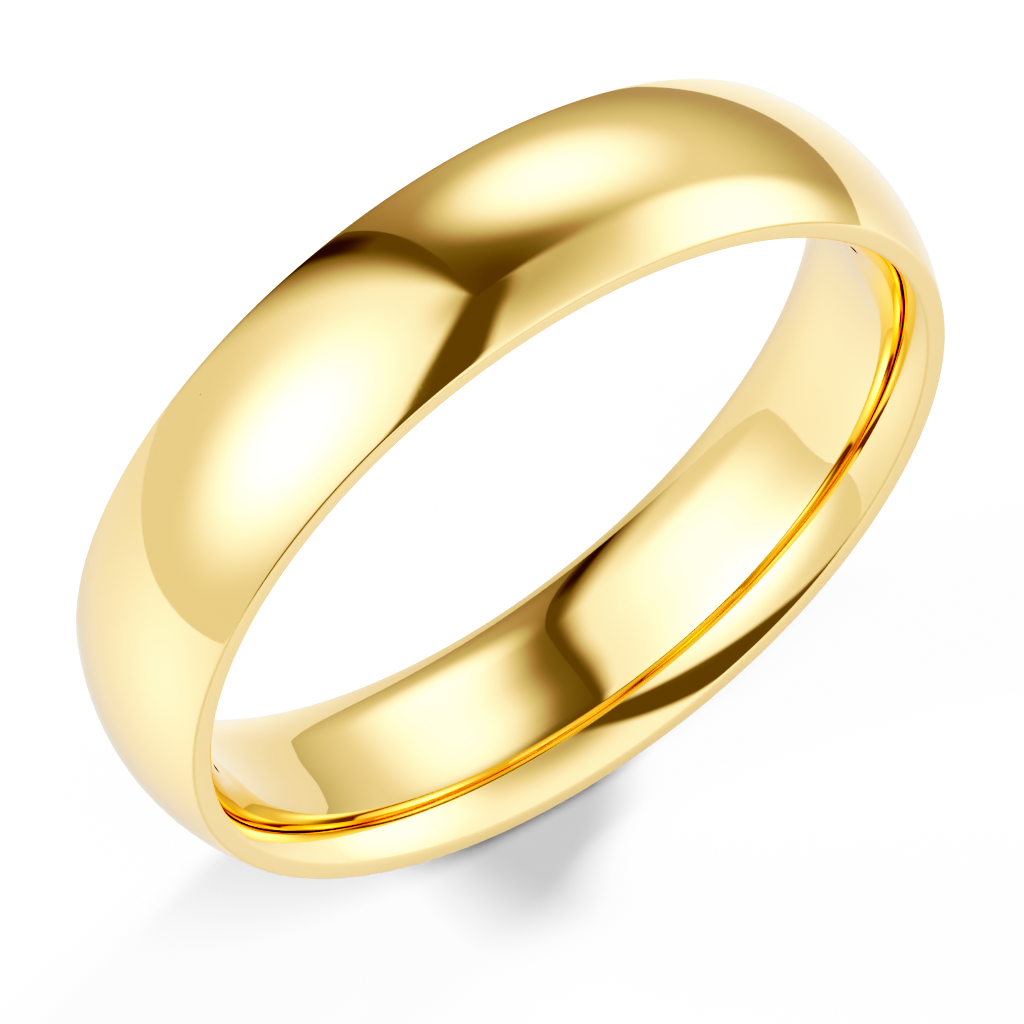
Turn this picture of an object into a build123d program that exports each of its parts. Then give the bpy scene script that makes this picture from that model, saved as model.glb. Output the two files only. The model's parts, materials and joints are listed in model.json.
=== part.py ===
from build123d import *
import math
import os

# A plain comfort-fit wedding band, in millimetres.  It stands upright: the bore's axis runs
# along Y, Z is up, and the origin is the centre of the bore.

# Driving dimensions
BAND_WIDTH = 5.0  # rim face to rim face, along the bore
BORE_RADIUS = 9.70  # at the flat land in the middle of the inside
LAND_WIDTH = 0.8  # the stretch of the inside that is a true cylinder
CROWN_WIDTH = 2.2  # the land and the gentle curves beside it, up to the shoulders
CROWN_SIDE_RADIUS = 12.0  # of the gentle curve between the land and a shoulder
CREST_RADIUS = 11.39  # at the top of the domed outside
RIM_OUTER_RADIUS = 10.757  # where the dome meets a rim face
RIM_INNER_RADIUS = 10.285  # where the inside's rounded shoulder meets a rim face
OUTER_EDGE_ROUNDING = 0.14  # between the dome and a rim face
INNER_EDGE_ROUNDING = 0.16  # between a rim face and its shoulder

HALF_WIDTH = BAND_WIDTH / 2
HALF_LAND = LAND_WIDTH / 2
HALF_CROWN = CROWN_WIDTH / 2
CROWN_DROP = CROWN_SIDE_RADIUS - math.sqrt(CROWN_SIDE_RADIUS**2 - (HALF_CROWN - HALF_LAND) ** 2)
RIM_SEARCH_MARGIN = 0.001  # how far from a rim face a corner may lie and still be on it


def section_outline():
    """The closed outline with sharp corners: X runs along the bore and Y outwards from its axis."""
    # The dome is one arc from rim to rim over the crest.
    ThreePointArc(
        (-HALF_WIDTH, RIM_OUTER_RADIUS),
        (0, CREST_RADIUS),
        (HALF_WIDTH, RIM_OUTER_RADIUS),
    )
    Line((-HALF_LAND, BORE_RADIUS), (HALF_LAND, BORE_RADIUS))
    for side in (-1, 1):
        Line((side * HALF_WIDTH, RIM_OUTER_RADIUS), (side * HALF_WIDTH, RIM_INNER_RADIUS))
        # The inside leaves the land along the bore, eases outwards, then curls to the rim face.
        crown_side = TangentArc(
            (side * HALF_LAND, BORE_RADIUS),
            (side * HALF_CROWN, BORE_RADIUS + CROWN_DROP),
            tangent=(side, 0),
        )
        TangentArc(crown_side @ 1, (side * HALF_WIDTH, RIM_INNER_RADIUS), tangent=crown_side % 1)


def rim_corners(section):
    """The section's corners on the two rim faces, from the innermost to the outermost."""
    on_rim = HALF_WIDTH - RIM_SEARCH_MARGIN
    return section.vertices().filter_by(lambda corner: abs(corner.X) > on_rim).sort_by(Axis.Y)


def band_section():
    """The band cut by the half-plane above its axis."""
    # Plane.YZ lays the outline's X along the bore, on Y, and its Y upwards, on Z.
    with BuildSketch(Plane.YZ) as section:
        with BuildLine():
            section_outline()
        make_face()
        fillet(rim_corners(section)[-2:], OUTER_EDGE_ROUNDING)
        fillet(rim_corners(section)[:2], INNER_EDGE_ROUNDING)
    return section.sketch


def make_band():
    """The section swept once round the bore's axis."""
    return revolve(band_section(), axis=Axis.Y)


os.makedirs("parts", exist_ok=True)
export_step(make_band(), "parts/band.step")
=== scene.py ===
import json
import math

import bpy
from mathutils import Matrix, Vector


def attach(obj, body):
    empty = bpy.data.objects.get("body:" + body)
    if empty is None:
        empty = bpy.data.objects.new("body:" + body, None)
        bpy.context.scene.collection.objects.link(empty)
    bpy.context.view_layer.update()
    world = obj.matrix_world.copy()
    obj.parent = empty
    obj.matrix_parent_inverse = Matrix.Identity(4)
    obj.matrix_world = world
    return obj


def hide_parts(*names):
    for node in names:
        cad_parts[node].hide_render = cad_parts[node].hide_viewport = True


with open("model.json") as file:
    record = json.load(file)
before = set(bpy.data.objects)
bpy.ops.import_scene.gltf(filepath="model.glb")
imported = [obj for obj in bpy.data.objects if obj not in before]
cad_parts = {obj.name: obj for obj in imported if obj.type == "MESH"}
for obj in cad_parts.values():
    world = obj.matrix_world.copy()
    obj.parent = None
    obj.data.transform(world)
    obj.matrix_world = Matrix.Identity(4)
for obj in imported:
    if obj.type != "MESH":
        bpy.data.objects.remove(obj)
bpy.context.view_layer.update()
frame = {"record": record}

# The band stands upright on the crest of its dome, with its bore along Y.  Lengths are in metres
# and angles in degrees.  An azimuth of 0 points at -Y, 90 at +X and -90 at -X.

MM = 0.001

# The band's size: its box and its bore come from the frame, the rest repeats the part's own sizes.
BAND_SIZE = frame["record"]["size"]["bbox_m"]
bore = next(mount for mount in frame["record"]["mounts"] if mount["name"] == "finger_bore")
CREST_RADIUS = BAND_SIZE[2] / 2
HALF_WIDTH = BAND_SIZE[1] / 2
BORE_RADIUS = bore["dims"]["r_mm"] * MM
HALF_LAND = bore["dims"]["length_mm"] * MM / 2
HALF_CROWN = 1.1 * MM
CROWN_SIDE_RADIUS = 12.0 * MM
RIM_OUTER_RADIUS = 10.757 * MM
RIM_INNER_RADIUS = 10.285 * MM
OUTER_EDGE_ROUNDING = 0.14 * MM
INNER_EDGE_ROUNDING = 0.16 * MM
FLOOR_HEIGHT = -CREST_RADIUS

# How finely the band's surface is divided.
STEPS_ROUND_THE_BAND = 720
DOME_STEPS = 26
SHOULDER_STEPS = 18
CROWN_STEPS = 4
EDGE_STEPS = 7
FLAT_STEPS = 2

# The camera: a long lens, looking down at the front left of the band.
VIEW_AZIMUTH = -34.3
VIEW_ELEVATION = 57.0
CAMERA_DISTANCE = 76.2 * CREST_RADIUS
VIEW_HEIGHT = 24.23 * MM
SENSOR_WIDTH = 36.0
AIM_ASIDE = -0.01 * MM
AIM_BELOW = 0.75 * MM
NEAREST_SEEN = 0.01
FARTHEST_SEEN = 10.0

# The picture's contrast: a brightness in the scene, and what it becomes.
BLACK_POINT = (0.1, 0.0)
DEEP_SHADE = (0.24, 0.1)
MIDDLE_SHADE = (0.53, 0.51)
LIGHT_SHADE = (1.15, 0.97)
WHITE_POINT = (1.75, 1.0)


def direction(azimuth, elevation):
    """The unit vector that points at an azimuth and an elevation."""
    turn, lift = math.radians(azimuth), math.radians(elevation)
    return Vector((math.sin(turn) * math.cos(lift), -math.cos(turn) * math.cos(lift), math.sin(lift)))


# ---------------------------------------------------------------- shape


def arc(centre, radius, start, end, steps):
    """Points on a circle from the direction of one point to that of another, both included."""
    first = math.atan2(start[1] - centre[1], start[0] - centre[0])
    last = math.atan2(end[1] - centre[1], end[0] - centre[0])
    angles = [first + (last - first) * step / steps for step in range(steps + 1)]
    return [(centre[0] + radius * math.cos(a), centre[1] + radius * math.sin(a)) for a in angles]


def line(start, end, steps):
    """Points on a straight line, both ends included."""
    shares = [step / steps for step in range(steps + 1)]
    return [(start[0] + (end[0] - start[0]) * s, start[1] + (end[1] - start[1]) * s) for s in shares]


def tangent_circle(start, towards, end):
    """The centre and radius of the circle that leaves start at right angles to towards, and meets end."""
    reach = Vector(end) - Vector(start)
    radius = reach.length_squared / (2 * reach.dot(towards))
    return Vector(start) + towards * radius, radius


def rounding_within(centre, radius, rounding, side):
    """The centre of the rounding that touches a rim face and, from within, one side of a circle.

    The circle's side is 1 for its upper half and -1 for its lower half.
    """
    x = HALF_WIDTH - rounding
    return x, centre[1] + side * math.sqrt((radius - rounding) ** 2 - (x - centre[0]) ** 2)


def touching_point(circle_centre, radius, rounding_centre):
    """Where a rounding touches the circle that holds it."""
    away = Vector(rounding_centre) - Vector(circle_centre)
    return tuple(Vector(circle_centre) + away.normalized() * radius)


def half_profile():
    """One side of the band's section: distance along the bore, and radius, from crest to land."""
    rise = CREST_RADIUS - RIM_OUTER_RADIUS
    dome_radius = (HALF_WIDTH**2 + rise**2) / (2 * rise)
    dome_centre = (0.0, CREST_RADIUS - dome_radius)
    crown_centre = (HALF_LAND, BORE_RADIUS + CROWN_SIDE_RADIUS)
    crown_run = HALF_CROWN - HALF_LAND
    crown_end = (HALF_CROWN, crown_centre[1] - math.sqrt(CROWN_SIDE_RADIUS**2 - crown_run**2))
    outwards = (Vector(crown_centre) - Vector(crown_end)).normalized()
    shoulder_centre, shoulder_radius = tangent_circle(crown_end, outwards, (HALF_WIDTH, RIM_INNER_RADIUS))

    outer_edge = rounding_within(dome_centre, dome_radius, OUTER_EDGE_ROUNDING, 1)
    inner_edge = rounding_within(shoulder_centre, shoulder_radius, INNER_EDGE_ROUNDING, -1)
    dome_end = touching_point(dome_centre, dome_radius, outer_edge)
    shoulder_end = touching_point(shoulder_centre, shoulder_radius, inner_edge)
    rim_outside = (HALF_WIDTH, outer_edge[1])
    rim_inside = (HALF_WIDTH, inner_edge[1])
    land_end = (HALF_LAND, BORE_RADIUS)

    points = arc(dome_centre, dome_radius, (0.0, CREST_RADIUS), dome_end, DOME_STEPS)
    points += arc(outer_edge, OUTER_EDGE_ROUNDING, dome_end, rim_outside, EDGE_STEPS)[1:]
    points += line(rim_outside, rim_inside, FLAT_STEPS)[1:]
    points += arc(inner_edge, INNER_EDGE_ROUNDING, rim_inside, shoulder_end, EDGE_STEPS)[1:]
    points += arc(shoulder_centre, shoulder_radius, shoulder_end, crown_end, SHOULDER_STEPS)[1:]
    points += arc(crown_centre, CROWN_SIDE_RADIUS, crown_end, land_end, CROWN_STEPS)[1:]
    points += line(land_end, (0.0, BORE_RADIUS), FLAT_STEPS)[1:]
    return points


def make_band():
    """The band as a smooth closed surface, swept round the bore."""
    front = [(-x, radius) for x, radius in half_profile()]
    back = [(x, radius) for x, radius in reversed(half_profile())]
    profile = front + back[1:-1]
    count = len(profile)
    points = []
    for step in range(STEPS_ROUND_THE_BAND):
        turn = math.tau * step / STEPS_ROUND_THE_BAND
        points += [(r * math.cos(turn), y, r * math.sin(turn)) for y, r in profile]
    faces = []
    for step in range(STEPS_ROUND_THE_BAND):
        here = step * count
        after = (step + 1) % STEPS_ROUND_THE_BAND * count
        for place in range(count):
            following = (place + 1) % count
            faces.append((here + place, here + following, after + following, after + place))
    mesh = bpy.data.meshes.new("band_surface")
    mesh.from_pydata(points, [], faces)
    mesh.polygons.foreach_set("use_smooth", [True] * len(faces))
    mesh.update()
    band = bpy.data.objects.new("band_polished", mesh)
    bpy.context.collection.objects.link(band)
    return band


# ---------------------------------------------------------------- node trees


class Graph:
    """Short calls that add nodes to a node tree and join them."""

    def __init__(self, tree):
        self.tree = tree
        tree.nodes.clear()

    def add(self, kind, inputs, **settings):
        """A node with its settings, and its inputs by name or number: a socket joins, a value sets."""
        node = self.tree.nodes.new(kind)
        for name, value in settings.items():
            setattr(node, name, value)
        for key, value in inputs.items():
            if isinstance(value, bpy.types.NodeSocket):
                self.tree.links.new(value, node.inputs[key])
            else:
                node.inputs[key].default_value = value
        return node

    def math(self, operation, first, second=0.0):
        """The result of one operation on one or two numbers."""
        return self.add("ShaderNodeMath", {0: first, 1: second}, operation=operation).outputs[0]

    def ramp(self, value, low, high, start=0.0, end=1.0, steps="SMOOTHSTEP"):
        """Runs from start, where value is low, to end, where it is high."""
        inputs = {"Value": value, "From Min": low, "From Max": high, "To Min": start, "To Max": end}
        return self.add("ShaderNodeMapRange", inputs, interpolation_type=steps).outputs[0]

    def blend(self, first, second, share):
        """First where share is 0, second where it is 1."""
        inputs = {"Factor": share, "A": first, "B": second}
        return self.add("ShaderNodeMix", inputs, data_type="FLOAT").outputs[0]

    def both(self, *shares):
        """The product of several shares."""
        result = shares[0]
        for share in shares[1:]:
            result = self.math("MULTIPLY", result, share)
        return result


# ---------------------------------------------------------------- gold

PALE_GOLD = (1.0, 0.745, 0.41, 1.0)
DEEP_GOLD = (1.0, 0.735, 0.398, 1.0)
PIT_COLOUR = (0.25, 0.14, 0.05, 1.0)
TINT_SIZE = 4 * MM

# Roughness, where the polish is best and where it is hazy, and what the marks add to it.
POLISH = 0.015
HAZE = 0.05
HAZE_SIZE = 2.5 * MM
HAZE_SPAN = (0.35, 0.7)
SCUFF_ROUGHNESS = 0.06
RIM_ROUGHNESS = 0.16
PIT_ROUGHNESS = 0.3

# Marks: how large they are, how finely their noise is broken up, and how far they stand off.
NOISE_MIDDLE = 0.5
COARSE = 1.0
MEDIUM = 2.0
FINE = 3.0
HAND_POLISH_SWELL = 1.6 * MM
SWELL_HEIGHT = 0.0012 * MM
TURNING_LINE_WIDTH = 0.045 * MM
TURNING_DRIFT = 0.004
LINE_HEIGHT = 0.00002 * MM
RIM_LINE_HEIGHT = 0.0005 * MM
SCUFF_TURNS = ((0.3, 0.9, 0.5), (1.9, 0.2, 1.3), (0.8, 2.2, 2.6))
SCUFF_LENGTH = 2.4 * MM
SCUFF_SPACING = 0.3 * MM
SCUFF_SHARPNESS = 0.012
SCUFF_PATCH = 3 * MM
SCUFF_PATCH_SPAN = (0.5, 0.7)
SCUFF_DEPTH = 0.00004 * MM
PIT_SPACING = 1.3 * MM
PIT_SHARE = 0.3
PIT_RADIUS = 0.03 * MM
PIT_DEPTH = 0.01 * MM


def polished_gold():
    """Yellow gold with a mirror polish: faint turning lines, hairline scuffs, tiny pits and softer rims."""
    material = bpy.data.materials.new("polished_yellow_gold")
    material.use_nodes = True
    graph = Graph(material.node_tree)
    place = graph.add("ShaderNodeTexCoord", {}).outputs["Object"]
    x, y, z = graph.add("ShaderNodeSeparateXYZ", {0: place}).outputs
    radius = graph.math("SQRT", graph.math("ADD", graph.both(x, x), graph.both(z, z)))

    def noise(vector, size, detail=MEDIUM):
        """Noise from 0 to 1, whose blots are about size across."""
        inputs = {"Vector": vector, "Scale": 1 / size, "Detail": detail}
        return graph.add("ShaderNodeTexNoise", inputs).outputs[0]

    def stretched(turn, length, width):
        """The place on the metal, turned and shrunk, so that round blots come out as long streaks."""
        inputs = {"Vector": place, "Rotation": turn, "Scale": (length / width, 1.0, 1.0)}
        return graph.add("ShaderNodeMapping", inputs, vector_type="TEXTURE").outputs[0]

    # Turning lines run round the band, so they change along the bore and outwards but not round it.
    inputs = {"X": y, "Y": radius, "Z": graph.math("MULTIPLY", z, TURNING_DRIFT)}
    turned = graph.add("ShaderNodeCombineXYZ", inputs).outputs[0]
    lines = noise(turned, TURNING_LINE_WIDTH, FINE)

    # A scuff is where a streaked noise passes through its middle value.
    scuffs = 0.0
    for turn in SCUFF_TURNS:
        streaks = noise(stretched(turn, SCUFF_LENGTH, SCUFF_SPACING), SCUFF_SPACING, COARSE)
        off_middle = graph.math("ABSOLUTE", graph.math("SUBTRACT", streaks, NOISE_MIDDLE))
        scuff = graph.ramp(off_middle, 0.0, SCUFF_SHARPNESS, 1.0, 0.0)
        scuffs = graph.math("MAXIMUM", scuffs, scuff)
    worn = graph.ramp(noise(place, SCUFF_PATCH), *SCUFF_PATCH_SPAN)
    scuffs = graph.both(scuffs, worn)

    # Pits lie at the middles of a few of the cells that fill the metal.
    cells = graph.add("ShaderNodeTexVoronoi", {"Vector": place, "Scale": 1 / PIT_SPACING})
    chance = graph.add("ShaderNodeSeparateXYZ", {0: cells.outputs["Color"]}).outputs[0]
    pitted = graph.math("LESS_THAN", chance, PIT_SHARE)
    near_middle = graph.ramp(cells.outputs["Distance"], 0.0, PIT_RADIUS / PIT_SPACING, 1.0, 0.0)
    pits = graph.both(near_middle, pitted)

    # The rims are the last to see the polishing wheel, so they keep a little more of everything.
    rim = graph.ramp(graph.math("ABSOLUTE", y), HALF_WIDTH - OUTER_EDGE_ROUNDING, HALF_WIDTH)
    swell = noise(place, HAND_POLISH_SWELL, COARSE)

    height = graph.math("MULTIPLY", swell, SWELL_HEIGHT)
    height = graph.math("ADD", height, graph.both(lines, graph.blend(LINE_HEIGHT, RIM_LINE_HEIGHT, rim)))
    height = graph.math("SUBTRACT", height, graph.both(scuffs, SCUFF_DEPTH))
    height = graph.math("SUBTRACT", height, graph.both(pits, PIT_DEPTH))
    normal = graph.add("ShaderNodeBump", {"Height": height, "Distance": 1.0, "Strength": 1.0}).outputs[0]

    roughness = graph.ramp(noise(place, HAZE_SIZE), *HAZE_SPAN, POLISH, HAZE)
    roughness = graph.math("ADD", roughness, graph.both(scuffs, SCUFF_ROUGHNESS))
    roughness = graph.math("ADD", roughness, graph.both(lines, graph.both(rim, RIM_ROUGHNESS)))
    roughness = graph.math("ADD", roughness, graph.both(pits, PIT_ROUGHNESS))
    inputs = {"Factor": noise(place, TINT_SIZE), "A": PALE_GOLD, "B": DEEP_GOLD}
    tint = graph.add("ShaderNodeMix", inputs, data_type="RGBA").outputs["Result"]
    inputs = {"Factor": pits, "A": tint, "B": PIT_COLOUR}
    colour = graph.add("ShaderNodeMix", inputs, data_type="RGBA").outputs["Result"]
    shader = graph.add(
        "ShaderNodeBsdfPrincipled",
        {"Base Color": colour, "Metallic": 1.0, "Roughness": roughness, "Normal": normal},
    )
    graph.add("ShaderNodeOutputMaterial", {"Surface": shader.outputs[0]})
    return material


# ---------------------------------------------------------------- studio

# Pale walls stand round the band, with a dark slit between the two in front and a gap behind.
# Brightness 1 is that of plain white paper there.  A wall has two brightnesses, low down and higher
# up.  RISE is the elevations between which the one turns into the other, TOP those between which
# the wall fades upwards, and END the azimuths between which it gives way to what is beside it.  An
# END past 180 means a fade that is cut short there.
WHITE = (1.0, 1.0, 1.0, 1.0)
DARK = 0.26
EDGE_SOFTNESS = 2.5
RIGHT_ANGLE = 90.0

# The slit's two edges, each through two places given as azimuth and elevation.
SLIT_LEFT_EDGE = ((-52.0, 70.0), (-46.0, 26.0))
SLIT_RIGHT_EDGE = ((-26.0, -7.0), (-19.0, 37.0))

LEFT_WALL = (0.85, 1.2)
LEFT_WALL_RISE = (0.0, 52.0)
LEFT_WALL_TOP = (71.0, 97.0)
LEFT_WALL_END = (-176.0, -157.0)

# The right wall's upper part is dimmer.  Along the wall's length it grows brighter to the right,
# and starts lower down.  CEILING is where the wall meets the dark overhead.
RIGHT_WALL = (0.75, 1.3)
RIGHT_WALL_RISE = (-20.0, 20.0)
RIGHT_WALL_LENGTH = (-10.0, 100.0)
RIGHT_WALL_UPPER = (0.45, 0.64)
RIGHT_WALL_TOP = (51.0, 97.0)
RIGHT_WALL_TOP_DROP = 31.0
RIGHT_WALL_END = (89.0, 102.0)
CEILING = (76.0, 86.0)

BACK_WALL = (0.5, 0.87)
BACK_WALL_RISE = (-15.0, 20.0)
BACK_WALL_UPPER = 0.24
BACK_WALL_TOP = (28.0, 82.0)
BACK_WALL_END = (126.0, 204.0)

# The gap's middle, and how far from it, to either side, the gap gives way to the walls.
BACK_GAP = (0.16, 0.40)
BACK_GAP_RISE = (15.0, 50.0)
BACK_GAP_AT = -176.0
BACK_GAP_REACH = (1.0, 4.0)
BACK_GAP_TOP = (66.0, 84.0)

# A lamp: where it stands, how bright it is, how far its glow reaches over the wall, and the
# azimuths between which a screen beside it cuts the glow off.
SIDE_LAMPS = (
    {"at": (81.0, 20.0), "brightness": 2.2, "reach": 35.0, "shade": (101.0, 94.5)},
    {"at": (139.0, 39.0), "brightness": 2.1, "reach": 31.0, "shade": (100.0, 104.0)},
)
SIDE_LAMP_RADIUS = 2.0
MAIN_LAMP = {"at": (-100.0, 36.5), "brightness": 4.2, "reach": 46.0}


def studio():
    """The walls and lamps round the band, as a world that shines on it."""
    world = bpy.data.worlds.new("studio")
    world.use_nodes = True
    bpy.context.scene.world = world
    graph = Graph(world.node_tree)
    look = graph.add("ShaderNodeTexCoord", {}).outputs["Generated"]
    x, y, z = graph.add("ShaderNodeSeparateXYZ", {0: look}).outputs
    azimuth = graph.math("DEGREES", graph.math("ARCTAN2", x, graph.math("MULTIPLY", y, -1.0)))
    elevation = graph.math("DEGREES", graph.math("ARCSINE", z))

    def along(vector):
        """How far every direction goes along a vector."""
        inputs = {0: look, 1: vector}
        return graph.add("ShaderNodeVectorMath", inputs, operation="DOT_PRODUCT").outputs["Value"]

    def away_from(place):
        """The angle between every direction and one place."""
        return graph.math("DEGREES", graph.math("ARCCOSINE", along(direction(*place))))

    def right_of(below, above):
        """1 on the right of the straight edge that runs up through two places, and 0 on its left."""
        across = direction(*above).cross(direction(*below)).normalized()
        reach = math.sin(math.radians(EDGE_SOFTNESS))
        return graph.ramp(along(across), -reach, reach)

    def wall(brightness, rise):
        """A wall's brightness, low down and higher up."""
        return graph.ramp(elevation, *rise, *brightness)

    side = graph.ramp(azimuth, *RIGHT_WALL_LENGTH, steps="LINEAR")
    height = graph.math("ADD", elevation, graph.math("MULTIPLY", side, RIGHT_WALL_TOP_DROP))
    upper = graph.blend(*RIGHT_WALL_UPPER, side)
    right = graph.blend(wall(RIGHT_WALL, RIGHT_WALL_RISE), upper, graph.ramp(height, *RIGHT_WALL_TOP))
    right = graph.blend(right, DARK, graph.ramp(elevation, *CEILING))
    back = wall(BACK_WALL, BACK_WALL_RISE)
    back = graph.blend(back, BACK_WALL_UPPER, graph.ramp(elevation, *BACK_WALL_TOP))
    right = graph.blend(right, back, graph.ramp(azimuth, *RIGHT_WALL_END))

    # The slit's right edge bounds the front only, so all that is behind counts as right of it.
    behind = graph.math("GREATER_THAN", azimuth, RIGHT_ANGLE)
    share = graph.math("MAXIMUM", right_of(*SLIT_RIGHT_EDGE), behind)
    share = graph.both(share, graph.ramp(azimuth, *BACK_WALL_END, 1.0, 0.0))
    light = graph.blend(DARK, right, share)

    left = graph.blend(wall(LEFT_WALL, LEFT_WALL_RISE), DARK, graph.ramp(elevation, *LEFT_WALL_TOP))
    share = graph.math("SUBTRACT", 1.0, right_of(*reversed(SLIT_LEFT_EDGE)))
    on_left = graph.math("LESS_THAN", azimuth, 0.0)
    share = graph.both(share, graph.ramp(azimuth, *LEFT_WALL_END), on_left)
    light = graph.blend(light, left, share)

    from_gap = graph.math("ABSOLUTE", graph.math("SUBTRACT", azimuth, BACK_GAP_AT))
    share = graph.ramp(from_gap, *BACK_GAP_REACH, 1.0, 0.0)
    share = graph.both(share, graph.ramp(elevation, *BACK_GAP_TOP, 1.0, 0.0))
    dimmed = graph.math("MINIMUM", light, wall(BACK_GAP, BACK_GAP_RISE))
    light = graph.blend(light, dimmed, share)

    for lamp in SIDE_LAMPS:
        glow = graph.ramp(away_from(lamp["at"]), SIDE_LAMP_RADIUS, lamp["reach"], 1.0, 0.0)
        glow = graph.both(glow, graph.ramp(azimuth, *lamp["shade"]))
        light = graph.blend(light, lamp["brightness"], glow)
    glow = graph.ramp(away_from(MAIN_LAMP["at"]), 0.0, MAIN_LAMP["reach"], 1.0, 0.0, steps="LINEAR")
    light = graph.blend(light, MAIN_LAMP["brightness"], graph.both(glow, glow))

    shade = graph.add("ShaderNodeBackground", {"Color": WHITE, "Strength": light})
    graph.add("ShaderNodeOutputWorld", {"Surface": shade.outputs[0]})


# The camera sees a floor, and the gold mirrors a glossy table top that the camera doesn't see.
# Three lamps shine on the floor alone, two from the sides and one from above in front.  They make
# it white and cast the band's shadows on it.  A lamp's spread is how wide it looks from the floor.
FLOOR_RADIUS = 1500 * MM
TABLE_RADIUS = 65 * MM
TABLE_DEPTH = 0.01 * MM
TABLE_COLOUR = (0.85, 0.85, 0.85, 1.0)
TABLE_ROUGHNESS = 0.3
TABLE_IOR = 2.9
FLOOR_COLOUR = (0.2, 0.2, 0.2, 1.0)
SHADOW_LAMPS = (
    {"at": (106.0, 22.0), "strength": 29.0, "spread": 14.0},
    {"at": (-124.0, 29.0), "strength": 19.0, "spread": 20.0},
    {"at": (-10.0, 68.0), "strength": 6.5, "spread": 30.0},
)
DISC_SIDES = 96


def make_disc(name, radius, height, material):
    """A flat round surface that belongs to the stage."""
    mesh = bpy.data.meshes.new(name)
    turns = [math.tau * side / DISC_SIDES for side in range(DISC_SIDES)]
    points = [(radius * math.cos(turn), radius * math.sin(turn), height) for turn in turns]
    mesh.from_pydata(points, [], [tuple(range(DISC_SIDES))])
    mesh.materials.append(material)
    disc = bpy.data.objects.new(name, mesh)
    bpy.context.collection.objects.link(disc)
    return disc


def floor_material():
    """A matt surface, which the strong lamps over it turn white."""
    material = bpy.data.materials.new("white_floor")
    material.use_nodes = True
    graph = Graph(material.node_tree)
    shader = graph.add("ShaderNodeBsdfDiffuse", {"Color": FLOOR_COLOUR})
    graph.add("ShaderNodeOutputMaterial", {"Surface": shader.outputs[0]})
    return material


def table_material():
    """A glossy white surface."""
    material = bpy.data.materials.new("white_table")
    material.use_nodes = True
    graph = Graph(material.node_tree)
    inputs = {"Base Color": TABLE_COLOUR, "Roughness": TABLE_ROUGHNESS, "IOR": TABLE_IOR}
    shader = graph.add("ShaderNodeBsdfPrincipled", inputs)
    graph.add("ShaderNodeOutputMaterial", {"Surface": shader.outputs[0]})
    return material


def make_floor():
    """The floor for the camera alone, which is returned, and the table top for the gold alone."""
    floor = make_disc("floor", FLOOR_RADIUS, FLOOR_HEIGHT, floor_material())
    floor.visible_glossy = False
    floor.visible_diffuse = False
    floor.visible_shadow = False
    table = make_disc("table", TABLE_RADIUS, FLOOR_HEIGHT - TABLE_DEPTH, table_material())
    table.visible_camera = False
    return floor


def light_floor(floor):
    """Lamps that shine on the floor alone, past the band."""
    lit = bpy.data.collections.new("lit_by_shadow_lamps")
    lit.objects.link(floor)
    for number, lamp in enumerate(SHADOW_LAMPS):
        light = bpy.data.lights.new(f"shadow_lamp_{number}", "SUN")
        light.energy = lamp["strength"]
        light.angle = math.radians(lamp["spread"])
        holder = bpy.data.objects.new(light.name, light)
        bpy.context.collection.objects.link(holder)
        holder.rotation_mode = "QUATERNION"
        holder.rotation_quaternion = (-direction(*lamp["at"])).to_track_quat("-Z", "Y")
        holder.light_linking.receiver_collection = lit
        holder.visible_camera = False
        holder.visible_glossy = False


# ---------------------------------------------------------------- camera and picture


def make_camera():
    """The camera, aimed a little beside and below the band's centre."""
    camera = bpy.data.objects.new("camera", bpy.data.cameras.new("camera"))
    bpy.context.collection.objects.link(camera)
    back = direction(VIEW_AZIMUTH, VIEW_ELEVATION)
    turn = (-back).to_track_quat("-Z", "Y")
    aim = turn @ Vector((AIM_ASIDE, AIM_BELOW, 0.0))
    camera.location = back * CAMERA_DISTANCE - aim
    camera.rotation_mode = "QUATERNION"
    camera.rotation_quaternion = turn
    camera.data.sensor_width = SENSOR_WIDTH
    camera.data.lens = SENSOR_WIDTH * CAMERA_DISTANCE / VIEW_HEIGHT
    camera.data.clip_start = NEAREST_SEEN
    camera.data.clip_end = FARTHEST_SEEN
    bpy.context.scene.camera = camera


def set_contrast():
    """The contrast of a catalogue picture: deep shades and a soft shoulder up to white."""
    picture = bpy.context.scene.view_settings
    picture.view_transform = "Standard"
    picture.use_curve_mapping = True
    mapping = picture.curve_mapping
    mapping.use_clip = False
    mapping.extend = "HORIZONTAL"
    # The red, green and blue curves stay straight, but have to reach as far as the combined one.
    red, green, blue, combined = mapping.curves
    for colour in (red, green, blue):
        colour.points[-1].location = (WHITE_POINT[0], WHITE_POINT[0])
    points = combined.points
    points[-1].location = WHITE_POINT
    for shade in (BLACK_POINT, DEEP_SHADE, MIDDLE_SHADE, LIGHT_SHADE):
        points.new(*shade)
    for point in points:
        point.handle_type = "AUTO_CLAMPED"
    mapping.update()


make_camera()
set_contrast()
studio()
light_floor(make_floor())

band = make_band()
band.data.materials.append(polished_gold())
# The floor and the table get no shade or golden tint from the band but what the floor's lamps cast.
band.visible_diffuse = False
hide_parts("band")
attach(band, "root")
